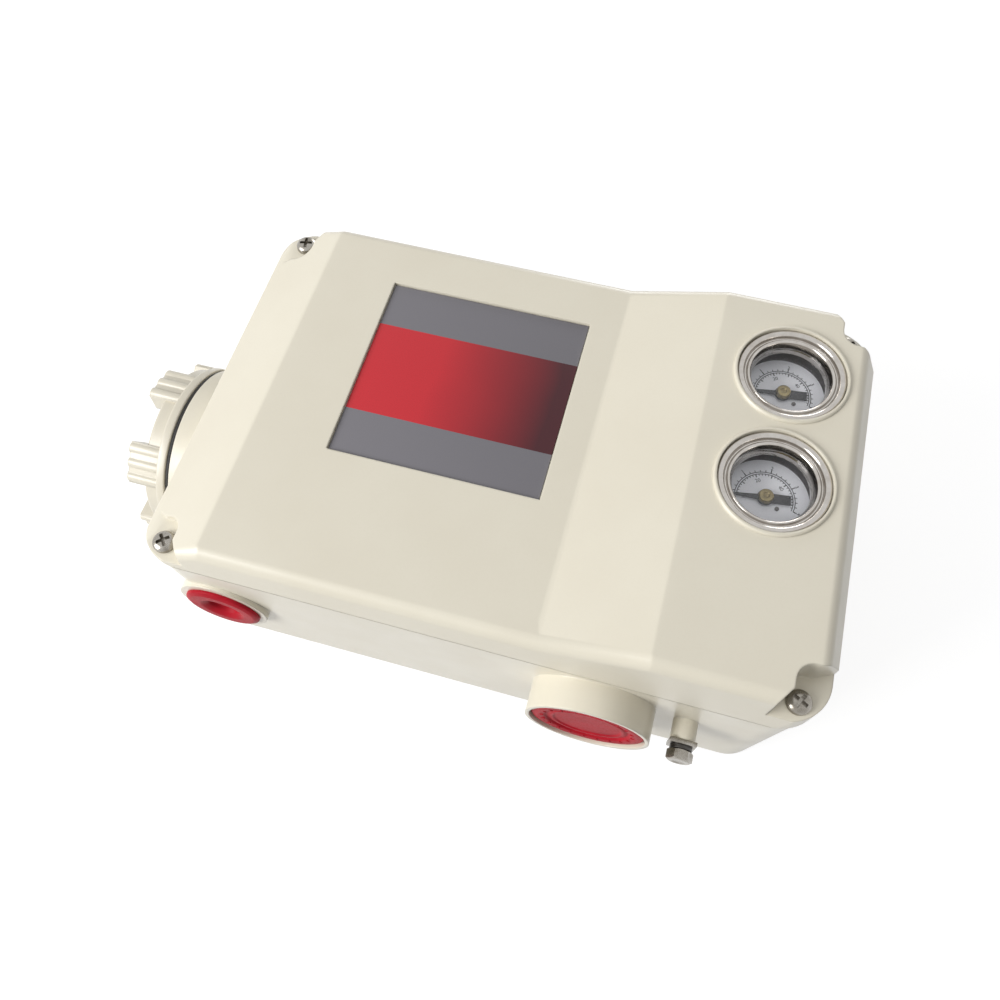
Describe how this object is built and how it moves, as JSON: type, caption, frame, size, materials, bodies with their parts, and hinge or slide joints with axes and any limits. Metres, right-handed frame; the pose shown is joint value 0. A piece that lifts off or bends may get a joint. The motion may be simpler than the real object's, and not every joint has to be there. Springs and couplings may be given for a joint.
{
  "type": "valve positioner",
  "caption": "Cream die-cast valve positioner with stepped cover, twin pressure gauges, ribbed screw cap, plugged cable entries, earth terminal and a feedback spindle in its back.",
  "frame": {"origin": "centre of the rear bolt pattern on the back face, on the feedback spindle's axis", "axes": "+X from the screw cap to the gauges, +Y to the top of the dials, +Z out of the cover"},
  "size_m": [0.263, 0.1645, 0.0986],
  "materials": {
    "housing_paint": "semi-gloss light cream paint on die-cast aluminium",
    "gasket_rubber": "black nitrile rubber",
    "screw_steel": "bright zinc plated steel",
    "label_print": "printed label, two grey bands and a red band that darkens",
    "bezel_chrome": "polished chrome plate",
    "lens_clear": "clear lens",
    "dial_print": "pale bluish white print",
    "ring_dark": "black",
    "pointer_black": "matt black",
    "brass_plain": "turned brass",
    "aluminium_plain": "machined aluminium",
    "plug_red": "moulded red polyethylene",
    "spring_dark": "dark oiled spring steel",
    "plastic_black": "moulded black plastic",
    "board_green": "solder mask on glass fibre",
    "connector_white": "moulded white plastic",
    "coil_copper": "enamelled copper winding",
    "pot_blue": "moulded blue plastic"
  },
  "bodies": {
    "base": {"base_housing": "housing_paint", "cover_gasket": "gasket_rubber", "gauge_sockets": "brass_plain", "gauge_cases": "aluminium_plain", "gauge_bezels": "bezel_chrome", "gauge_lenses": "lens_clear", "dial_rings": "ring_dark", "gauge_dials": "dial_print", "bourdon_tubes": "brass_plain", "movement_frames": "brass_plain", "terminal_block": "plastic_black", "terminal_screws": "brass_plain", "wire_feedthrough": "plastic_black", "inner_earth_screw": "screw_steel", "small_entry_plug": "plug_red", "large_entry_plug": "plug_red", "large_plug_ring": "gasket_rubber", "earth_bolt": "screw_steel", "earth_spring_washer": "spring_dark", "earth_clamp": "screw_steel", "spindle_bushes": "brass_plain", "spindle_seal": "gasket_rubber", "potentiometer": "pot_blue", "air_manifold": "aluminium_plain", "manifold_screws": "screw_steel", "pilot_body": "aluminium_plain", "pilot_spring": "screw_steel", "pilot_screws": "screw_steel", "converter_body": "plastic_black", "converter_coil": "coil_copper", "converter_yoke": "screw_steel", "converter_nozzle": "brass_plain", "converter_screws": "screw_steel", "main_board": "board_green", "board_chips": "plastic_black", "board_connectors": "connector_white", "board_screws": "screw_steel", "vent_plug": "brass_plain"},
    "cover": {"cover": "housing_paint", "cover_screws": "screw_steel", "nameplate": "label_print"},
    "cap_ring": {"cap_o_ring": "gasket_rubber"},
    "cap": {"terminal_cap": "housing_paint"},
    "spindle": {"feedback_spindle": "screw_steel", "spindle_clip": "spring_dark", "feedback_sector": "brass_plain"},
    "potentiometer_shaft": {"potentiometer_pinion": "brass_plain"},
    "gauge_1_pointer": {"gauge_pinion_1": "brass_plain", "pointer_1": "pointer_black"},
    "gauge_2_pointer": {"gauge_pinion_2": "brass_plain", "pointer_2": "pointer_black"},
    "gauge_1_sector": {"gauge_sector_1": "brass_plain"},
    "gauge_2_sector": {"gauge_sector_2": "brass_plain"},
    "spool": {"pilot_spool": "screw_steel"},
    "flapper": {"converter_flapper": "screw_steel"}
  },
  "joints": [
    {"name": "spindle_turn", "type": "hinge", "parent": "base", "child": "spindle", "pos_m": [0, 0, 0.02], "axis": [0, 0, 1], "range_deg": [-45, 45]},
    {"name": "potentiometer_turn", "type": "hinge", "parent": "base", "child": "potentiometer_shaft", "pos_m": [-0.045, 0, 0.03], "axis": [0, 0, 1], "range_deg": [-180, 180]},
    {"name": "gauge_1_pointer_turn", "type": "hinge", "parent": "base", "child": "gauge_1_pointer", "pos_m": [0.0885, 0.0418, 0.08], "axis": [0, 0, -1], "range_deg": [0, 200]},
    {"name": "gauge_1_sector_turn", "type": "hinge", "parent": "base", "child": "gauge_1_sector", "pos_m": [0.0885, 0.0298, 0.078], "axis": [0, 0, 1], "range_deg": [0, 50]},
    {"name": "gauge_2_pointer_turn", "type": "hinge", "parent": "base", "child": "gauge_2_pointer", "pos_m": [0.0885, -0.0018, 0.08], "axis": [0, 0, -1], "range_deg": [0, 200]},
    {"name": "gauge_2_sector_turn", "type": "hinge", "parent": "base", "child": "gauge_2_sector", "pos_m": [0.0885, -0.0138, 0.078], "axis": [0, 0, 1], "range_deg": [0, 50]},
    {"name": "cap_travel", "type": "slide", "parent": "base", "child": "cap_ring", "axis": [-1, 0, 0], "range_m": [0, 0.01]},
    {"name": "cap_turn", "type": "hinge", "parent": "cap_ring", "child": "cap", "pos_m": [-0.13, -0.0145, 0.03668], "axis": [-1, 0, 0], "range_deg": [0, 1800]},
    {"name": "cover_lift", "type": "slide", "parent": "base", "child": "cover", "axis": [0, 0, 1], "range_m": [0, 0.05]},
    {"name": "spool_slide", "type": "slide", "parent": "base", "child": "spool", "axis": [0, 0, 1], "range_m": [-0.0012, 0.0012], "stiffness_N_per_m": 300, "deforming": ["pilot_spring"]},
    {"name": "flapper_swing", "type": "hinge", "parent": "base", "child": "flapper", "pos_m": [0.0595, 0.024, 0.064], "axis": [1, 0, 0], "range_deg": [-1, 1]}
  ],
  "couplings": [
    {"joint": "potentiometer_turn", "follows": "spindle_turn", "ratio": -4},
    {"joint": "gauge_1_sector_turn", "follows": "gauge_1_pointer_turn", "ratio": 0.25},
    {"joint": "gauge_2_sector_turn", "follows": "gauge_2_pointer_turn", "ratio": 0.25},
    {"joint": "cap_travel", "follows": "cap_turn", "m_per_rad": 0.00031831}
  ]
}
